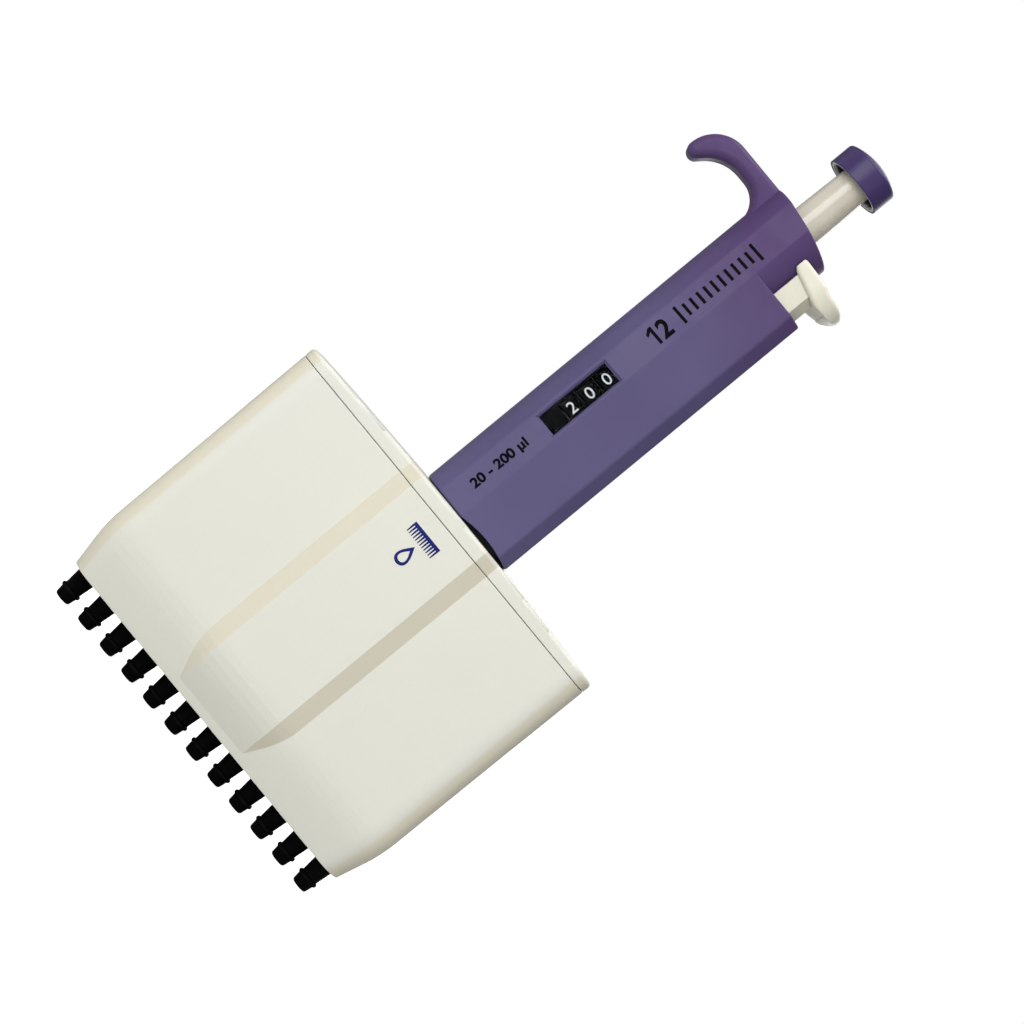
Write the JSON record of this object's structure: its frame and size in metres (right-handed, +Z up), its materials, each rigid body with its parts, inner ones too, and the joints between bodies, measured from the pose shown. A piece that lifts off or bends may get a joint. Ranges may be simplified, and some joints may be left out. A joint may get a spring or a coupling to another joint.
{
  "type": "multichannel pipette",
  "caption": "Hand-held multichannel pipette with a swivelling nozzle manifold, plunger button, finger hook, volume counter and tip ejector.",
  "frame": {"origin": "on the plunger axis, in the plane of the nozzle tips", "axes": "+Z up the plunger axis to the push-button, +X along the nozzle row towards the ejector button, -Y is the front, where the volume is read"},
  "size_m": [0.115, 0.033, 0.2407],
  "materials": {
    "purple_plastic": "satin moulded plastic",
    "cap_plastic": "semi-gloss moulded plastic",
    "cream_plastic": "satin moulded plastic",
    "ejector_plastic": "satin moulded plastic",
    "stem_plastic": "satin moulded plastic",
    "white_plastic": "moulded plastic",
    "slate_plastic": "moulded plastic",
    "dark_plastic": "moulded plastic",
    "black_plastic": "moulded plastic",
    "nozzle_plastic": "moulded plastic",
    "nozzle_rubber": "matt rubber",
    "seal_rubber": "matt rubber",
    "window": "clear",
    "aluminium": "machined",
    "steel": "ground",
    "brass": "turned"
  },
  "bodies": {
    "handle": {"handle_shell": "purple_plastic", "handle_base": "dark_plastic", "counter_lens": "window", "counter_mask": "black_plastic", "stem_bushing": "dark_plastic", "swivel_tube": "aluminium", "swivel_nut": "steel", "counter_frame": "dark_plastic", "frame_screws": "steel", "pinion_shaft": "steel", "return_spring": "steel", "blowout_spring": "steel", "ejector_spring": "steel"},
    "dial": {"drive_sleeve": "brass", "units_drum": "black_plastic"},
    "tens_wheel": {"tens_drum": "black_plastic"},
    "hundreds_wheel": {"hundreds_drum": "black_plastic"},
    "tens_pinion": {"tens_pinion": "white_plastic"},
    "hundreds_pinion": {"hundreds_pinion": "white_plastic"},
    "stop_nut": {"stop_nut": "aluminium"},
    "plunger": {"push_button": "cap_plastic", "button_liner": "slate_plastic", "button_ring": "white_plastic", "plunger_stem": "stem_plastic", "plunger_rod": "steel", "rod_collar": "steel", "blowout_stop": "steel"},
    "blowout_washer": {"blowout_washer": "steel"},
    "ejector": {"ejector_button": "ejector_plastic", "ejector_rod": "steel", "ejector_ring": "white_plastic"},
    "manifold": {"manifold_lid": "cream_plastic", "manifold_shell": "cream_plastic", "hub_plate": "aluminium", "guide_posts": "steel", "cylinder_plate": "aluminium", "plate_screws": "steel", "seal_retainer": "steel", "piston_seals": "seal_rubber", "nozzle_orings": "nozzle_rubber", "nozzle_01": "nozzle_plastic", "nozzle_02": "nozzle_plastic", "nozzle_03": "nozzle_plastic", "nozzle_04": "nozzle_plastic", "nozzle_05": "nozzle_plastic", "nozzle_06": "nozzle_plastic", "nozzle_07": "nozzle_plastic", "nozzle_08": "nozzle_plastic", "nozzle_09": "nozzle_plastic", "nozzle_10": "nozzle_plastic", "nozzle_11": "nozzle_plastic", "nozzle_12": "nozzle_plastic"},
    "ejector_comb": {"comb_yoke": "aluminium", "comb_pins": "steel", "ejector_comb": "dark_plastic"},
    "piston_rack": {"rack_plate": "aluminium", "pistons": "steel", "piston_clamp": "steel", "rack_screws": "steel", "rod_coupling": "brass"}
  },
  "joints": [
    {"name": "volume_dial", "type": "hinge", "parent": "handle", "child": "dial", "pos_m": [0, 0, 0.15], "axis": [0, 0, 1], "range_deg": [-6480, 0]},
    {"name": "tens_turn", "type": "hinge", "parent": "handle", "child": "tens_wheel", "pos_m": [0, 0, 0.1426], "axis": [0, 0, 1], "range_deg": [-648, 0]},
    {"name": "hundreds_turn", "type": "hinge", "parent": "handle", "child": "hundreds_wheel", "pos_m": [0, 0, 0.1366], "axis": [0, 0, 1], "range_deg": [-64.8, 0]},
    {"name": "tens_pinion_turn", "type": "hinge", "parent": "handle", "child": "tens_pinion", "pos_m": [0.0097, 0.0056, 0.1455], "axis": [0, 0, 1], "range_deg": [0, 1620]},
    {"name": "hundreds_pinion_turn", "type": "hinge", "parent": "handle", "child": "hundreds_pinion", "pos_m": [0.0097, 0.0056, 0.1395], "axis": [0, 0, 1], "range_deg": [0, 162]},
    {"name": "stop_nut_travel", "type": "slide", "parent": "handle", "child": "stop_nut", "axis": [0, 0, 1], "range_m": [-0.0108, 0]},
    {"name": "plunger_press", "type": "slide", "parent": "dial", "child": "plunger", "axis": [0, 0, 1], "range_m": [-0.0155, 0], "deforming": ["return_spring"]},
    {"name": "blowout_press", "type": "slide", "parent": "handle", "child": "blowout_washer", "axis": [0, 0, 1], "range_m": [-0.0035, 0], "deforming": ["blowout_spring"]},
    {"name": "ejector_press", "type": "slide", "parent": "handle", "child": "ejector", "axis": [0, 0, 1], "range_m": [-0.0058, 0], "deforming": ["ejector_spring"]},
    {"name": "manifold_swivel", "type": "hinge", "parent": "handle", "child": "manifold", "pos_m": [0, 0, 0.073], "axis": [0, 0, 1], "continuous": true},
    {"name": "comb_travel", "type": "slide", "parent": "manifold", "child": "ejector_comb", "axis": [0, 0, 1], "range_m": [-0.0058, 0]},
    {"name": "rack_travel", "type": "slide", "parent": "manifold", "child": "piston_rack", "axis": [0, 0, 1], "range_m": [-0.0155, 0]}
  ],
  "couplings": [
    {"joint": "tens_turn", "follows": "volume_dial", "ratio": 0.1},
    {"joint": "hundreds_turn", "follows": "volume_dial", "ratio": 0.01},
    {"joint": "tens_pinion_turn", "follows": "volume_dial", "ratio": -0.25},
    {"joint": "hundreds_pinion_turn", "follows": "volume_dial", "ratio": -0.025},
    {"joint": "stop_nut_travel", "follows": "volume_dial", "m_per_rad": 0.000095493},
    {"joint": "rack_travel", "follows": "plunger_press", "ratio": 1},
    {"joint": "comb_travel", "follows": "ejector_press", "ratio": 1}
  ]
}
